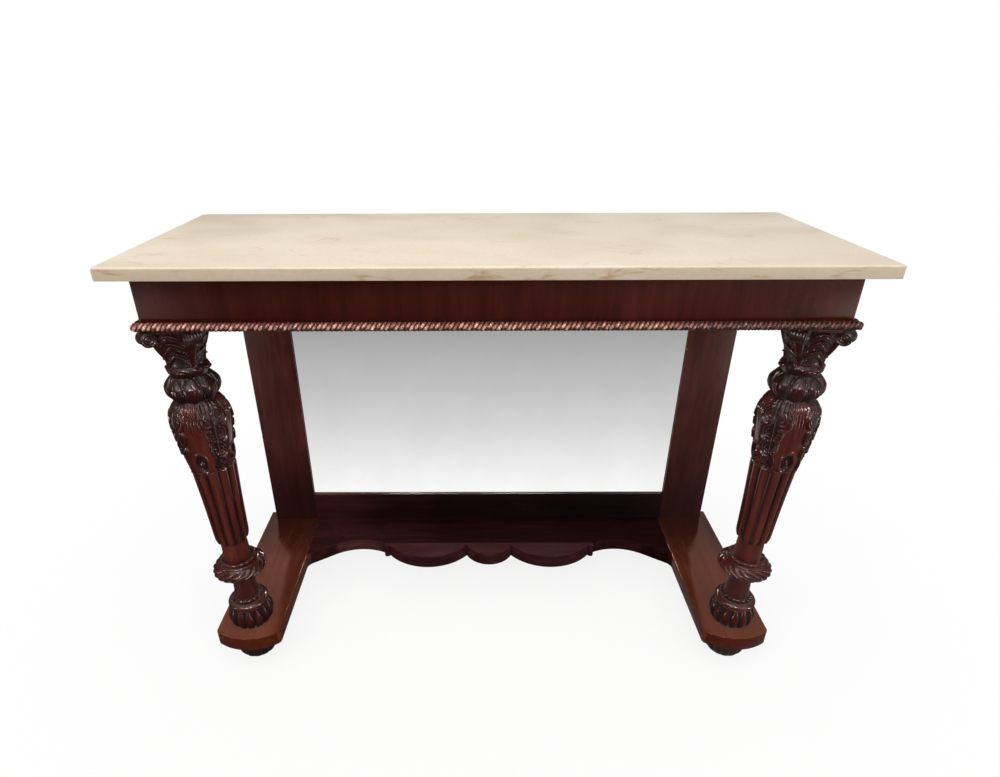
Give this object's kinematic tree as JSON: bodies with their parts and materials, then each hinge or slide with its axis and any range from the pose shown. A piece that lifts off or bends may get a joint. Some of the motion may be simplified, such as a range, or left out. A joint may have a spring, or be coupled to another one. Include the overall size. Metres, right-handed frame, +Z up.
{
  "type": "pier table",
  "caption": "Pier table with a marble top, mahogany frieze, carved reeded front legs, mirrored back and shaped plinth on bun feet.",
  "frame": {"origin": "on the floor under the middle of the table", "axes": "+X to the table's right as seen from the front, +Y towards the back, +Z up"},
  "size_m": [1.346, 0.497, 0.95],
  "materials": {
    "marble": "polished",
    "frieze_veneer": "french polished",
    "rope_wood": "french polished",
    "carved_wood": "french polished",
    "pilaster_veneer": "french polished",
    "plinth_veneer": "french polished",
    "rail_veneer": "french polished",
    "secondary_wood": "unfinished",
    "mirror_glass": "silvered"
  },
  "bodies": {
    "root": {"marble_top": "marble", "frieze_front_rail": "frieze_veneer", "frieze_end_left": "frieze_veneer", "frieze_end_right": "frieze_veneer", "frieze_back_rail": "secondary_wood", "frieze_bearer_left": "secondary_wood", "frieze_bearer_right": "secondary_wood", "frieze_corner_block_left": "secondary_wood", "frieze_corner_block_right": "secondary_wood", "frieze_glue_blocks": "secondary_wood", "rope_moulding_front": "rope_wood", "rope_moulding_left": "rope_wood", "rope_moulding_right": "rope_wood", "leg_left": "carved_wood", "leg_right": "carved_wood", "pilaster_left": "pilaster_veneer", "pilaster_right": "pilaster_veneer", "mirror_top_rail": "rail_veneer", "mirror_bottom_rail": "rail_veneer", "mirror_plate": "mirror_glass", "mirror_beads": "secondary_wood", "backboard_left": "secondary_wood", "backboard_centre": "secondary_wood", "backboard_right": "secondary_wood", "plinth_centre": "plinth_veneer", "plinth_apron": "plinth_veneer", "plinth_arm_left": "plinth_veneer", "plinth_arm_right": "plinth_veneer", "plinth_splines": "secondary_wood", "front_foot_left": "carved_wood", "front_foot_right": "carved_wood", "rear_foot_left": "carved_wood", "rear_foot_right": "carved_wood"}
  },
  "joints": []
}
